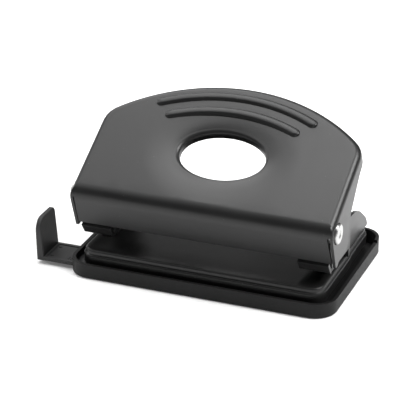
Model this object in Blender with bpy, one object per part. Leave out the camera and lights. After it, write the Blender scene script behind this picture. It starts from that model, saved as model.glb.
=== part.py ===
"""Two-hole punch, desktop size, 80 mm hole spacing.

Frame: +X to the right along the length, -Y to the front where the paper goes in, +Z up.
The origin is the centre of the tray's underside. All lengths are in metres.
"""
from math import atan2, cos, pi, radians, sin, tan

import bmesh
import bpy
from mathutils import Matrix, Vector

MM = 0.001
GAP = 0.3 * MM

# ---- driving dimensions -------------------------------------------------------------
PUNCH_X = 40.0 * MM
PUNCH_Y = -12.6 * MM
PUNCH_RADIUS = 2.7 * MM
SHEET = 1.2 * MM

TRAY_HALF_X = 48.86 * MM
TRAY_HALF_Y = 31.6 * MM
TRAY_CORNER = 8.0 * MM
TRAY_HEIGHT = 5.44 * MM
TRAY_WALL = 1.25 * MM
TRAY_FLOOR = 1.0 * MM
TRAY_STEP_Y = 22.6 * MM
TRAY_STEP_HEIGHT = 0.8 * MM

BASE_TOP = 9.4 * MM
BASE_LEDGE = 7.7 * MM
BASE_BOTTOM = 3.9 * MM
BASE_HALF_X = 44.2 * MM
BASE_LEDGE_X = 44.8 * MM
BASE_JOG = 0.5 * MM
BASE_JOG_START = 2.0 * MM
BASE_JOG_END = 7.0 * MM
BASE_HALF_Y = 27.6 * MM
BASE_LEDGE_Y = 28.5 * MM
BASE_CORNER = 4.5 * MM

HINGE_Y = -22.8 * MM
HINGE_Z = 29.0 * MM
HANDLE_SLOPE = radians(28.5)
FLAP_LEAN = radians(20.0)
HANDLE_CORNER_Y = -29.2 * MM
HANDLE_CORNER_Z = 31.8 * MM
HANDLE_HALF_X = 47.9 * MM
HANDLE_REACH = 56.6 * MM
HANDLE_ARC = 70.0 * MM
HANDLE_SIDE_CORNER = 9.0 * MM
HANDLE_SHEET = 1.0 * MM
HANDLE_ROLL = 2.5 * MM
HANDLE_BEND = 5.0 * MM
FLAP_BOTTOM = 18.0 * MM
LUG_BOTTOM = 16.5 * MM
FLANGE_DEPTH = 5.6 * MM

WINDOW_V = 25.9 * MM
WINDOW_HALF_X = 15.6 * MM
WINDOW_HALF_V = 9.95 * MM
WINDOW_ROLL = 1.75 * MM
WINDOW_DEPTH = 4.2 * MM
RIB_WIDTH = 3.6 * MM
RIB_HEIGHT = 0.9 * MM
RIB_SHIFT = -0.6 * MM
RIB_PROFILE = (
    (-1.0, -0.55), (-1.0, 0.0), (-0.72, 0.62), (-0.3, 0.96),
    (0.3, 0.96), (0.72, 0.62), (1.0, 0.0), (1.0, -0.55),
)
RIBS = ((50.9 * MM, 29.2 * MM), (44.3 * MM, 23.9 * MM))

STOP_FACE_Y = -0.6 * MM
FOOT_BOTTOM = BASE_TOP + GAP
ARM_BOTTOM = 12.9 * MM
ARM_INNER_X = 34.4 * MM
EAR_OUTER_X = 45.2 * MM
LOBE_OUTER_X = 43.5 * MM
LOBE_REAR_Y = 27.3 * MM
LOBE_TOP = 21.7 * MM
UPPER_ARM_BOTTOM = 27.0 * MM
LIP_Y = -21.6 * MM
LIP_TOP_Y = -24.4 * MM
LIP_TOP_Z = 17.0 * MM
LIP_END_X = 45.5 * MM
BOSS_RADIUS = 3.6 * MM
FOOT_RIVETS = ((39.2 * MM, 7.0 * MM), (39.2 * MM, 16.0 * MM))
RIVET_RADIUS = 1.5 * MM

PIN_HEAD_RADIUS = 3.5 * MM
PIN_NECK_RADIUS = 2.0 * MM
PIN_OUTER_X = 48.75 * MM

HEAD_CENTRE_Z = 36.26 * MM
PUNCH_TIP_Z = 13.1 * MM
CLIP_BOTTOM = 25.9 * MM
CLIP_THICK = 0.8 * MM
CUP_BOTTOM = 24.7 * MM
CUP_THICK = 0.9 * MM
SPRING_MEAN_RADIUS = 3.35 * MM
SPRING_WIRE_RADIUS = 0.35 * MM
SPRING_TURNS = 5.5

GUIDE_OUTER_X = -62.4 * MM
GUIDE_OUTER_LEAN = 0.5 * MM
GUIDE_FACE_X = -59.6 * MM
GUIDE_FACE_LEAN = 1.2 * MM
GUIDE_FRONT_Y = -26.4 * MM
GUIDE_REAR_Y = -13.5 * MM
GUIDE_BOTTOM = 1.3 * MM
GUIDE_ARM_TOP = 2.8 * MM
GUIDE_STOP_TOP = 16.9 * MM
GUIDE_INNER_X = 30.4 * MM
GUIDE_SHOULDER_X = -46.0 * MM
GUIDE_NARROW_Y = -16.2 * MM

SMOOTH_ANGLE = radians(32.0)


# ---- scene and materials ------------------------------------------------------------
def clear_scene():
    """Remove whatever the start-up file holds."""
    for item in list(bpy.data.objects):
        bpy.data.objects.remove(item, do_unlink=True)


def material(name, colour, roughness, metallic):
    """Principled material with a plain colour."""
    made = bpy.data.materials.new(name)
    made.use_nodes = True
    shader = made.node_tree.nodes["Principled BSDF"]
    shader.inputs["Base Color"].default_value = (*colour, 1.0)
    shader.inputs["Roughness"].default_value = roughness
    shader.inputs["Metallic"].default_value = metallic
    return made


# ---- outlines -----------------------------------------------------------------------
def arc(centre, radius, start, end, steps):
    """Points on an arc, both ends included, angles in radians."""
    points = []
    for i in range(steps + 1):
        angle = start + (end - start) * i / steps
        points.append((centre[0] + radius * cos(angle), centre[1] + radius * sin(angle)))
    return points


def rounded(corners, steps=5):
    """Polygon through corners (a, b, radius) with each corner rounded by its radius."""
    points = []
    count = len(corners)
    for i, (a, b, radius) in enumerate(corners):
        corner = Vector((a, b))
        if radius == 0:
            points.append((a, b))
            continue
        back = (Vector(corners[i - 1][:2]) - corner).normalized()
        ahead = (Vector(corners[(i + 1) % count][:2]) - corner).normalized()
        half = back.angle(ahead) / 2
        centre = corner + (back + ahead).normalized() * (radius / sin(half))
        first = corner + back * (radius / tan(half)) - centre
        last = corner + ahead * (radius / tan(half)) - centre
        start = atan2(first.y, first.x)
        sweep = (atan2(last.y, last.x) - start + pi) % (2 * pi) - pi
        points += arc(centre, radius, start, start + sweep, steps)
    return points


def rounded_box(half_x, half_y, corner, steps=5):
    """Rounded rectangle centred on the origin, counter-clockwise."""
    return rounded(
        [
            (-half_x, -half_y, corner),
            (half_x, -half_y, corner),
            (half_x, half_y, corner),
            (-half_x, half_y, corner),
        ],
        steps,
    )


def base_outline(half_x, half_y, corner):
    """Rounded rectangle whose sides step in a little beside the brackets."""
    right = arc((half_x - corner, corner - half_y), corner, -pi / 2, 0, 5)
    for i in range(5):
        share = i / 4
        eased = share * share * (3 - 2 * share)
        right.append((half_x - BASE_JOG * eased, BASE_JOG_START + (BASE_JOG_END - BASE_JOG_START) * share))
    right += arc((half_x - BASE_JOG - corner, half_y - corner), corner, 0, pi / 2, 5)
    return right + [(-x, y) for x, y in reversed(right)]


def handle_outline(inset):
    """Handle seen square on to its top face: straight sides and an arched rear edge.

    The first coordinate is X, the second runs up the slope from the front corner.
    """
    half = HANDLE_HALF_X - inset
    arc_radius = HANDLE_ARC - inset
    corner = HANDLE_SIDE_CORNER - inset
    arc_centre = HANDLE_REACH - HANDLE_ARC
    corner_x = half - corner
    corner_v = arc_centre + (((arc_radius - corner) ** 2) - corner_x ** 2) ** 0.5
    meet = atan2(corner_v - arc_centre, corner_x)
    right = [(half, -14.0 * MM)]
    right += arc((corner_x, corner_v), corner, 0, meet, 6)
    rear = arc((0, arc_centre), arc_radius, meet, pi - meet, 20)[1:-1]
    return right + rear + [(-x, v) for x, v in reversed(right)]


# ---- meshes -------------------------------------------------------------------------
def loft(rings):
    """Closed skin through rings of equal point count, flat at both ends."""
    mesh = bmesh.new()
    layers = [[mesh.verts.new(point) for point in ring] for ring in rings]
    count = len(layers[0])
    for lower, upper in zip(layers, layers[1:]):
        for i in range(count):
            j = (i + 1) % count
            mesh.faces.new((lower[i], lower[j], upper[j], upper[i]))
    mesh.faces.new(list(reversed(layers[0])))
    mesh.faces.new(layers[-1])
    bmesh.ops.recalc_face_normals(mesh, faces=mesh.faces)
    return mesh


def prism_z(outline, low, high):
    """Outline in X and Y, extruded from low to high in Z."""
    return loft([[(x, y, z) for x, y in outline] for z in (low, high)])


def prism_x(outline, low, high):
    """Outline in Y and Z, extruded from low to high in X."""
    return loft([[(x, y, z) for y, z in outline] for x in (low, high)])


def box(low, high):
    """Box between two opposite corners."""
    outline = [(low[0], low[1]), (high[0], low[1]), (high[0], high[1]), (low[0], high[1])]
    return prism_z(outline, low[2], high[2])


def turned(profile, steps=24):
    """Turned solid about Z from (radius, height) points whose ends lie on the axis or off it."""
    rings = []
    for radius, height in profile:
        circle = arc((0, 0), max(radius, 0.02 * MM), 0, 2 * pi * (1 - 1 / steps), steps - 1)
        rings.append([(x, y, height) for x, y in circle])
    return loft(rings)


def ring_solid(inner, outer, low, high, steps=24):
    """Flat ring about Z with a small chamfer on its outer edges."""
    chamfer = min(0.15 * MM, (high - low) / 4)
    section = (
        (inner, low),
        (outer - chamfer, low),
        (outer, low + chamfer),
        (outer, high - chamfer),
        (outer - chamfer, high),
        (inner, high),
    )
    mesh = bmesh.new()
    layers = []
    for radius, height in section:
        layers.append([
            mesh.verts.new((radius * cos(2 * pi * i / steps), radius * sin(2 * pi * i / steps), height))
            for i in range(steps)
        ])
    for k, lower in enumerate(layers):
        upper = layers[(k + 1) % len(layers)]
        for i in range(steps):
            j = (i + 1) % steps
            mesh.faces.new((lower[i], lower[j], upper[j], upper[i]))
    bmesh.ops.recalc_face_normals(mesh, faces=mesh.faces)
    return mesh


def tube(path, radius, sides=6):
    """Round bar along a path of points, with flat ends."""
    rings = []
    for i, point in enumerate(path):
        ahead = path[min(i + 1, len(path) - 1)] - path[max(i - 1, 0)]
        ahead.normalize()
        across = ahead.cross(Vector((0, 0, 1))).normalized()
        up = across.cross(ahead)
        rings.append([
            point + radius * (cos(2 * pi * k / sides) * across + sin(2 * pi * k / sides) * up)
            for k in range(sides)
        ])
    return loft(rings)


# ---- objects ------------------------------------------------------------------------
def place(name, mesh, origin=(0.0, 0.0, 0.0), look=None):
    """Object whose mesh was drawn in world space and whose origin goes to the given point."""
    mesh.transform(Matrix.Translation(-Vector(origin)))
    data = bpy.data.meshes.new(name)
    mesh.to_mesh(data)
    mesh.free()
    made = bpy.data.objects.new(name, data)
    made.location = origin
    bpy.context.scene.collection.objects.link(made)
    if look is not None:
        data.materials.append(look)
        data.shade_smooth()
        data.set_sharp_from_angle(angle=SMOOTH_ANGLE)
    return made


def cutter(name, mesh):
    """Helper shape for a Boolean, left out of the build."""
    made = place(name, mesh)
    made.hide_render = True
    made.display_type = "WIRE"
    return made


def combine(target, helper, operation):
    """Add an EXACT Boolean of the helper to the target."""
    modifier = target.modifiers.new(helper.name, "BOOLEAN")
    modifier.object = helper
    modifier.operation = operation
    modifier.solver = "EXACT"


def cut(target, name, mesh):
    combine(target, cutter(name, mesh), "DIFFERENCE")


def join(target, name, mesh):
    combine(target, cutter(name, mesh), "UNION")


def keep(target, name, mesh):
    combine(target, cutter(name, mesh), "INTERSECT")


def moved(mesh, offset):
    """The same mesh, shifted."""
    mesh.transform(Matrix.Translation(offset))
    return mesh


def turned_to_x(mesh, side, offset):
    """A solid turned about Z laid along X, its height pointing outward on the given side."""
    mesh.transform(Matrix.Rotation(side * pi / 2, 4, "Y"))
    return moved(mesh, offset)


# ---- chip tray ----------------------------------------------------------------------
def make_chip_tray(look):
    """Plastic tray that closes the underside, catches the chips and carries the guide."""
    edge = 0.6 * MM
    rings = []
    for inset, height in (
        (edge, 0.0),
        (0.3 * edge, 0.3 * edge),
        (0.0, edge),
        (0.0, TRAY_HEIGHT - edge / 2),
        (edge / 4, TRAY_HEIGHT - edge / 8),
        (edge / 2, TRAY_HEIGHT),
    ):
        outline = rounded_box(TRAY_HALF_X - inset, TRAY_HALF_Y - inset, TRAY_CORNER - inset, 8)
        rings.append([(x, y, height) for x, y in outline])
    tray = place("chip_tray", loft(rings), look=look)

    raised = rounded_box(TRAY_HALF_X, TRAY_HALF_Y, TRAY_CORNER, 8)
    join(tray, "tray_rear_rim", prism_z(raised, TRAY_HEIGHT - 1.5 * MM, TRAY_HEIGHT + TRAY_STEP_HEIGHT))
    far = 60.0 * MM
    cut(tray, "tray_front_trim", box(
        (-far, -far, TRAY_HEIGHT), (far, TRAY_STEP_Y, TRAY_HEIGHT + 5.0 * MM)))

    pocket = rounded_box(TRAY_HALF_X - TRAY_WALL, TRAY_HALF_Y - TRAY_WALL, TRAY_CORNER - TRAY_WALL, 8)
    cut(tray, "tray_pocket", prism_z(pocket, TRAY_FLOOR, 12.0 * MM))
    notch = 0.5 * MM
    for side in (-1, 1):
        centre_x = side * TRAY_HALF_X
        cut(tray, f"tray_rim_notch_{side}", box(
            (centre_x - 2.4 * MM, TRAY_STEP_Y - notch, 4.4 * MM),
            (centre_x + 2.4 * MM, TRAY_STEP_Y + 0.1 * MM, 12.0 * MM)))

    ridge_x = BASE_LEDGE_X - BASE_JOG - SHEET - GAP
    ridge_y = BASE_LEDGE_Y - SHEET - GAP
    ridge_wall = 1.2 * MM
    ridge_corner = BASE_CORNER - GAP
    ridge = place("tray_ridge", prism_z(
        rounded_box(ridge_x, ridge_y, ridge_corner), TRAY_FLOOR - 0.4 * MM, 5.0 * MM))
    cut(ridge, "tray_ridge_inside", prism_z(
        rounded_box(ridge_x - ridge_wall, ridge_y - ridge_wall, ridge_corner - ridge_wall), 0.0, 9.0 * MM))
    ridge.hide_render = True
    ridge.display_type = "WIRE"
    cut(ridge, "tray_ridge_front", box(
        (-far, -far, 0.0), (ridge_x - ridge_wall - GAP, -24.0 * MM, 9.0 * MM)))
    combine(tray, ridge, "UNION")

    rail_top = 2.6 * MM
    rail_wide = 1.0 * MM
    rail_inner = 33.0 * MM
    rail_end = ridge_x - ridge_wall - 3.0 * MM
    front_rail = GUIDE_FRONT_Y - GAP
    rear_rail = GUIDE_NARROW_Y + GAP
    join(tray, "tray_front_rail", box(
        (-rail_end, front_rail - rail_wide, TRAY_FLOOR - 0.3 * MM), (rail_inner, front_rail, rail_top)))
    join(tray, "tray_rear_rail", box(
        (-rail_inner, rear_rail, TRAY_FLOOR - 0.3 * MM), (rail_end, rear_rail + rail_wide, rail_top)))
    cut(tray, "tray_guide_slot", box(
        (-far, GUIDE_FRONT_Y - GAP, GUIDE_BOTTOM - GAP),
        (-ridge_x + ridge_wall + 0.5 * MM, GUIDE_REAR_Y + GAP, GUIDE_ARM_TOP + GAP)))
    cut(tray, "tray_ridge_gap", box(
        (-ridge_x - 1.0 * MM, GUIDE_FRONT_Y - GAP, GUIDE_BOTTOM - GAP),
        (-ridge_x + ridge_wall + 0.5 * MM, GUIDE_REAR_Y + GAP, 9.0 * MM)))
    return tray


# ---- base plate ---------------------------------------------------------------------
def base_rings(thin, low):
    """Skin of the stamped base, set inward by thin, open side down to the height low."""
    roll = 0.8 * MM
    ledge_roll = 0.5 * MM
    ledge_x = BASE_LEDGE_X - thin
    ledge_y = BASE_LEDGE_Y - thin
    ledge_z = BASE_LEDGE - thin
    top = BASE_TOP - thin
    rings = []
    for inset, height in (
        (0.0, low),
        (0.0, ledge_z - ledge_roll),
        (0.3 * ledge_roll, ledge_z - 0.3 * ledge_roll),
        (ledge_roll, ledge_z),
    ):
        outline = base_outline(ledge_x - inset, ledge_y - inset, BASE_CORNER + 1.1 * MM - thin - inset)
        rings.append([(x, y, height) for x, y in outline])
    for inset, height in (
        (0.0, ledge_z + 0.05 * MM),
        (0.0, top - roll),
        (0.13 * roll, top - 0.5 * roll),
        (0.5 * roll, top - 0.13 * roll),
        (roll, top),
    ):
        outline = base_outline(
            BASE_HALF_X - thin - inset, BASE_HALF_Y - thin - inset, BASE_CORNER - thin - inset)
        rings.append([(x, y, height) for x, y in outline])
    return rings


def make_base_plate(look):
    """Stamped steel base: a rounded plateau on a slightly wider skirt, open below."""
    plate = place("base_plate", loft(base_rings(0.0, BASE_BOTTOM)), look=look)
    cut(plate, "base_inside", loft(base_rings(SHEET, BASE_BOTTOM - 3.0 * MM)))
    for side in (-1, 1):
        die = turned(((PUNCH_RADIUS + GAP, 6.0 * MM), (PUNCH_RADIUS + GAP, 12.0 * MM)))
        cut(plate, f"die_hole_{side}", moved(die, (side * PUNCH_X, PUNCH_Y, 0)))
        for i, (x, y) in enumerate(FOOT_RIVETS):
            hole = turned(((RIVET_RADIUS + GAP, 6.0 * MM), (RIVET_RADIUS + GAP, 12.0 * MM)), 24)
            cut(plate, f"base_rivet_hole_{side}_{i}", moved(hole, (side * x, y, 0)))
    return plate


# ---- brackets -----------------------------------------------------------------------
def lobe_outline():
    """Side view of the rear side plate, a low quarter round behind the paper stop."""
    return rounded(
        [
            (STOP_FACE_Y + 0.6 * MM, FOOT_BOTTOM, 0.0),
            (LOBE_REAR_Y, FOOT_BOTTOM, 0.4 * MM),
            (LOBE_REAR_Y - 1.6 * MM, 12.9 * MM, 7.0 * MM),
            (15.2 * MM, 20.9 * MM, 18.0 * MM),
            (8.0 * MM, LOBE_TOP, 6.0 * MM),
            (STOP_FACE_Y + 0.6 * MM, LOBE_TOP, 0.0),
        ],
        12,
    )


def ear_outline():
    """Side view of the front side plate, from the hinge boss back to the paper stop."""
    rear = STOP_FACE_Y + SHEET + 0.1 * MM
    front = [
        (STOP_FACE_Y, FOOT_BOTTOM, 0.0),
        (rear, FOOT_BOTTOM, 0.0),
        (rear, UPPER_ARM_BOTTOM + SHEET, 0.5 * MM),
        (-16.6 * MM, UPPER_ARM_BOTTOM + SHEET, 2.5 * MM),
    ]
    boss_y = HINGE_Y
    boss = [
        (boss_y + BOSS_RADIUS, HINGE_Z + BOSS_RADIUS, 2.6 * MM),
        (boss_y - BOSS_RADIUS, HINGE_Z + BOSS_RADIUS, 3.4 * MM),
        (boss_y - BOSS_RADIUS, HINGE_Z - 1.0 * MM, 3.4 * MM),
        (-19.4 * MM, 15.5 * MM, 4.0 * MM),
        (-19.4 * MM, ARM_BOTTOM, 0.0),
        (STOP_FACE_Y, ARM_BOTTOM, 0.0),
    ]
    return rounded(front + boss, 8)


def arm_outline():
    """Side view of the lower arm with its turned-up lip, where the paper is led in."""
    top = ARM_BOTTOM + SHEET
    slant = Vector((LIP_TOP_Y - LIP_Y, LIP_TOP_Z - ARM_BOTTOM)).normalized()
    across = Vector((-slant.y, slant.x)) * -SHEET
    return rounded(
        [
            (LIP_Y, ARM_BOTTOM, 1.6 * MM),
            (STOP_FACE_Y + 0.4 * MM, ARM_BOTTOM, 0.0),
            (STOP_FACE_Y + 0.4 * MM, top, 0.0),
            (LIP_Y + 0.75 * MM, top, 0.9 * MM),
            (LIP_TOP_Y + across.x, LIP_TOP_Z + across.y, 0.0),
            (LIP_TOP_Y, LIP_TOP_Z, 0.0),
        ],
        4,
    )


def make_bracket(name, side, look):
    """Folded steel bracket: foot, paper stop, guide arms, lip, hinge ear and rear side plate."""
    def span(inner, outer):
        return (inner, outer) if side > 0 else (-outer, -inner)

    def side_box(inner, outer, y_low, y_high, z_low, z_high):
        low, high = span(inner, outer)
        return box((low, y_low, z_low), (high, y_high, z_high))

    ear = prism_x(ear_outline(), *span(EAR_OUTER_X - SHEET, EAR_OUTER_X))
    bracket = place(name, ear, look=look)
    inside = EAR_OUTER_X - 0.5 * MM
    stop_back = STOP_FACE_Y + SHEET
    upper_top = UPPER_ARM_BOTTOM + SHEET - 0.05 * MM
    join(bracket, f"{name}_arm", prism_x(arm_outline(), *span(ARM_INNER_X, EAR_OUTER_X - 0.04 * MM)))
    join(bracket, f"{name}_lip_end", prism_x(
        [p for p in arm_outline() if p[0] < LIP_Y + 1.0 * MM], *span(EAR_OUTER_X - 1.5 * MM, LIP_END_X)))
    join(bracket, f"{name}_stop", side_box(
        ARM_INNER_X, inside, STOP_FACE_Y + 0.02 * MM, stop_back,
        FOOT_BOTTOM + 0.02 * MM, upper_top - 0.1 * MM))
    join(bracket, f"{name}_lobe", prism_x(lobe_outline(), *span(LOBE_OUTER_X - SHEET, LOBE_OUTER_X)))
    join(bracket, f"{name}_foot", side_box(
        ARM_INNER_X, LOBE_OUTER_X - 0.5 * SHEET, STOP_FACE_Y + 0.4 * MM, 20.4 * MM,
        FOOT_BOTTOM + 0.04 * MM, FOOT_BOTTOM + SHEET))
    join(bracket, f"{name}_upper_arm", side_box(
        ARM_INNER_X, inside, -17.6 * MM, stop_back - 0.1 * MM, UPPER_ARM_BOTTOM, upper_top))

    bore = PUNCH_RADIUS + GAP
    hole = turned(((bore, ARM_BOTTOM - 2.0 * MM), (bore, UPPER_ARM_BOTTOM + 4.0 * MM)))
    cut(bracket, f"{name}_punch_bore", moved(hole, (side * PUNCH_X, PUNCH_Y, 0)))
    for i, (x, y) in enumerate(FOOT_RIVETS):
        hole = turned(((RIVET_RADIUS + GAP, FOOT_BOTTOM - 1.0 * MM),
                       (RIVET_RADIUS + GAP, FOOT_BOTTOM + 3.0 * MM)), 24)
        cut(bracket, f"{name}_rivet_hole_{i}", moved(hole, (side * x, y, 0)))
    hinge = turned(((PIN_NECK_RADIUS + GAP, 40.0 * MM), (PIN_NECK_RADIUS + GAP, 50.0 * MM)), 24)
    cut(bracket, f"{name}_hinge_bore", turned_to_x(hinge, side, (0, HINGE_Y, HINGE_Z)))
    return bracket


# ---- handle -------------------------------------------------------------------------
def slope_to_world(x, v, w):
    """Point given by X, distance up the handle's slope and height above its top face."""
    return (
        x,
        HANDLE_CORNER_Y + v * cos(HANDLE_SLOPE) - w * sin(HANDLE_SLOPE),
        HANDLE_CORNER_Z + v * sin(HANDLE_SLOPE) + w * cos(HANDLE_SLOPE),
    )


def handle_block(thin):
    """Arched block with a rolled top edge, set inward by thin on its sides and top."""
    roll = HANDLE_ROLL - thin
    rings = [[(x, v, -45.0 * MM) for x, v in handle_outline(thin)]]
    steps = 4
    for i in range(steps + 1):
        angle = pi / 2 * i / steps
        inset = thin + roll * (1 - cos(angle))
        height = -thin - roll * (1 - sin(angle))
        rings.append([(x, v, height) for x, v in handle_outline(inset)])
    return loft([[slope_to_world(*point) for point in ring] for ring in rings])


def handle_side(thin, lift):
    """Side view of the handle: sloping top, front bend and flap, lug and rising lower edge."""
    slope = HANDLE_SLOPE
    along = Vector((cos(slope), sin(slope)))
    down = Vector((sin(FLAP_LEAN), -cos(FLAP_LEAN)))
    corner = Vector((HANDLE_CORNER_Y, HANDLE_CORNER_Z))
    half = along.angle(down) / 2
    corner = corner + (along + down).normalized() * (thin / sin(half))

    def on_slope(v, w):
        point = slope_to_world(0, v, w)
        return point[1], point[2]

    rear_top = corner + along * (72.0 * MM)
    flap_end = corner + down * ((corner.y - LUG_BOTTOM + lift) / cos(FLAP_LEAN))
    lower = [(flap_end.x, flap_end.y, 0.0)]
    if lift:
        lower += [(60.0 * MM, LUG_BOTTOM - lift, 0.0)]
    else:
        lower += [
            (-22.0 * MM, LUG_BOTTOM + 0.05 * MM, 1.0 * MM),
            (-20.4 * MM, LUG_BOTTOM + 1.2 * MM, 1.5 * MM),
            (-11.0 * MM, LUG_BOTTOM + 1.5 * MM, 3.0 * MM),
            (-9.4 * MM, 28.6 * MM, 5.0 * MM),
            (*on_slope(32.0 * MM, -FLANGE_DEPTH - 0.3 * MM), 14.0 * MM),
            (*on_slope(70.0 * MM, -FLANGE_DEPTH), 0.0),
        ]
    return rounded([(corner.x, corner.y, HANDLE_BEND - thin), *lower, (rear_top.x, rear_top.y, 0.0)], 7)


def ellipse_rings(levels, steps=40):
    """Rings of an ellipse about the window's centre, each (growth, height above the top face)."""
    rings = []
    for growth, height in levels:
        ring = []
        for i in range(steps):
            angle = 2 * pi * i / steps
            x = WINDOW_HALF_X * cos(angle)
            v = WINDOW_HALF_V * sin(angle)
            normal = Vector((x / WINDOW_HALF_X ** 2, v / WINDOW_HALF_V ** 2)).normalized()
            ring.append(slope_to_world(x + growth * normal.x, WINDOW_V + v + growth * normal.y, height))
        rings.append(ring)
    return rings


def rib_mesh(apex, half_length):
    """Raised rounded rib on an arc that follows the handle's rear edge."""
    centre = HANDLE_REACH - HANDLE_ARC
    radius = apex - centre
    reach = half_length / radius
    steps = 14
    tip = RIB_WIDTH / 2
    stations = [(-1, k) for k in (0.12, 0.45, 0.8)]
    stations += [(i / steps, 1.0) for i in range(steps + 1)]
    stations += [(2, k) for k in (0.8, 0.45, 0.12)]
    rings = []
    for share, width in stations:
        if share in (-1, 2):
            beyond = tip * (1 - width ** 2) ** 0.5 / radius
            angle = reach + beyond if share == -1 else -reach - beyond
        else:
            angle = reach - 2 * reach * share
        ring = []
        for across, height in RIB_PROFILE:
            r = radius + across * tip * width
            w = height * RIB_HEIGHT * (width ** 0.5 if height > 0 else 1.0)
            ring.append(slope_to_world(RIB_SHIFT + r * sin(angle), centre + r * cos(angle), w))
        rings.append(ring)
    return loft(rings)


def make_handle(look):
    """Pressed steel handle, hinged at its front lugs, with a drawn window and two ribs."""
    pivot = (0.0, HINGE_Y, HINGE_Z)
    handle = place("handle", handle_block(0.0), origin=pivot, look=look)
    far = 60.0 * MM
    keep(handle, "handle_side_view", prism_x(handle_side(0.0, 0.0), -far, far))
    inside = cutter("handle_inside", handle_block(HANDLE_SHEET))
    combine(inside, cutter("handle_inside_view", prism_x(
        handle_side(HANDLE_SHEET, 9.0 * MM), -far, far)), "INTERSECT")
    combine(handle, inside, "DIFFERENCE")

    inner_x = HANDLE_HALF_X - HANDLE_SHEET
    cut(handle, "flap_trim", box(
        (-inner_x - 0.02 * MM, -40.0 * MM, 5.0 * MM), (inner_x + 0.02 * MM, -15.0 * MM, FLAP_BOTTOM)))
    seam = 0.6 * MM
    for side in (-1, 1):
        outer = side * (inner_x + 0.02 * MM)
        inner = side * (inner_x - seam)
        low, high = min(outer, inner), max(outer, inner)
        cut(handle, f"flap_seam_{side}", box((low, -40.0 * MM, 5.0 * MM), (high, -22.6 * MM, 28.6 * MM)))
        relief = turned(((0.75 * MM, -4.0 * MM), (0.75 * MM, 4.0 * MM)), 16)
        relief.transform(Matrix.Rotation(pi / 2, 4, "X"))
        cut(handle, f"flap_relief_{side}", moved(
            relief, (side * (inner_x - seam / 2), -28.0 * MM, 28.8 * MM)))
        bore = turned(((PIN_HEAD_RADIUS + GAP, 45.5 * MM), (PIN_HEAD_RADIUS + GAP, 51.0 * MM)), 40)
        cut(handle, f"lug_bore_{side}", turned_to_x(bore, side, (0, HINGE_Y, HINGE_Z)))

    roll = WINDOW_ROLL
    join(handle, "window_collar", loft(ellipse_rings((
        (HANDLE_SHEET, -WINDOW_DEPTH), (HANDLE_SHEET, -HANDLE_SHEET / 2)))))
    levels = [(0.0, -WINDOW_DEPTH - 3.0 * MM)]
    for i in range(5):
        angle = pi / 2 * i / 4
        levels.append((roll * (1 - cos(angle)), -roll * (1 - sin(angle))))
    levels[-1] = (roll, 0.01 * MM)
    levels.append((roll + 0.4 * MM, 3.0 * MM))
    cut(handle, "window", loft(ellipse_rings(levels)))
    for i, (apex, half_length) in enumerate(RIBS):
        join(handle, f"rib_{i}", rib_mesh(apex, half_length))
    return handle


# ---- hinge pins and washers ---------------------------------------------------------
def make_hinge_pin(name, side, look):
    """Shouldered rivet: bright head in the handle's lug, neck through the ear, closed inside."""
    flange_inner = HANDLE_HALF_X - HANDLE_SHEET
    inner_head = EAR_OUTER_X - SHEET - GAP
    profile = (
        (2.0 * MM, inner_head - 1.0 * MM),
        (2.9 * MM, inner_head - 0.7 * MM),
        (3.0 * MM, inner_head),
        (PIN_NECK_RADIUS, inner_head + 0.01 * MM),
        (PIN_NECK_RADIUS, flange_inner - 0.01 * MM),
        (PIN_HEAD_RADIUS, flange_inner),
        (PIN_HEAD_RADIUS, PIN_OUTER_X - 0.3 * MM),
        (PIN_HEAD_RADIUS - 0.3 * MM, PIN_OUTER_X),
        (1.5 * MM, PIN_OUTER_X),
        (1.1 * MM, PIN_OUTER_X - 0.25 * MM),
    )
    pin = turned_to_x(turned(profile, 32), side, (0, HINGE_Y, HINGE_Z))
    return place(name, pin, origin=(side * EAR_OUTER_X, HINGE_Y, HINGE_Z), look=look)


def make_hinge_washer(name, side, look):
    """Spacer between the ear and the handle's lug."""
    ring = ring_solid(PIN_NECK_RADIUS + GAP, 3.6 * MM, EAR_OUTER_X + GAP,
                      HANDLE_HALF_X - HANDLE_SHEET - GAP)
    return place(name, turned_to_x(ring, side, (0, HINGE_Y, HINGE_Z)),
                 origin=(side * EAR_OUTER_X, HINGE_Y, HINGE_Z), look=look)


# ---- punches, springs, clips --------------------------------------------------------
def make_punch(name, side, look):
    """Hollow-ground punch with a domed head and a groove for its clip."""
    groove = 2.0 * MM
    profile = [
        (PUNCH_RADIUS, PUNCH_TIP_Z),
        (PUNCH_RADIUS, CLIP_BOTTOM - 0.1 * MM),
        (groove, CLIP_BOTTOM - 0.09 * MM),
        (groove, CLIP_BOTTOM + CLIP_THICK + 0.09 * MM),
        (PUNCH_RADIUS, CLIP_BOTTOM + CLIP_THICK + 0.1 * MM),
    ]
    for i in range(8):
        angle = pi / 2 * i / 8
        profile.append((PUNCH_RADIUS * cos(angle), HEAD_CENTRE_Z + PUNCH_RADIUS * sin(angle)))
    profile.append((0.3 * MM, HEAD_CENTRE_Z + PUNCH_RADIUS))
    punch = place(name, moved(turned(profile), (side * PUNCH_X, PUNCH_Y, 0)),
                  origin=(side * PUNCH_X, PUNCH_Y, PUNCH_TIP_Z), look=look)
    grind = 1.6 * MM
    notch = prism_x(
        [
            (PUNCH_Y - 1.9 * MM, PUNCH_TIP_Z - 0.5 * MM),
            (PUNCH_Y + 1.9 * MM, PUNCH_TIP_Z - 0.5 * MM),
            (PUNCH_Y + 0.3 * MM, PUNCH_TIP_Z + grind),
            (PUNCH_Y - 0.3 * MM, PUNCH_TIP_Z + grind),
        ],
        side * PUNCH_X - 6.0 * MM,
        side * PUNCH_X + 6.0 * MM,
    )
    cut(punch, f"{name}_tip_grind", notch)
    return punch


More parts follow.
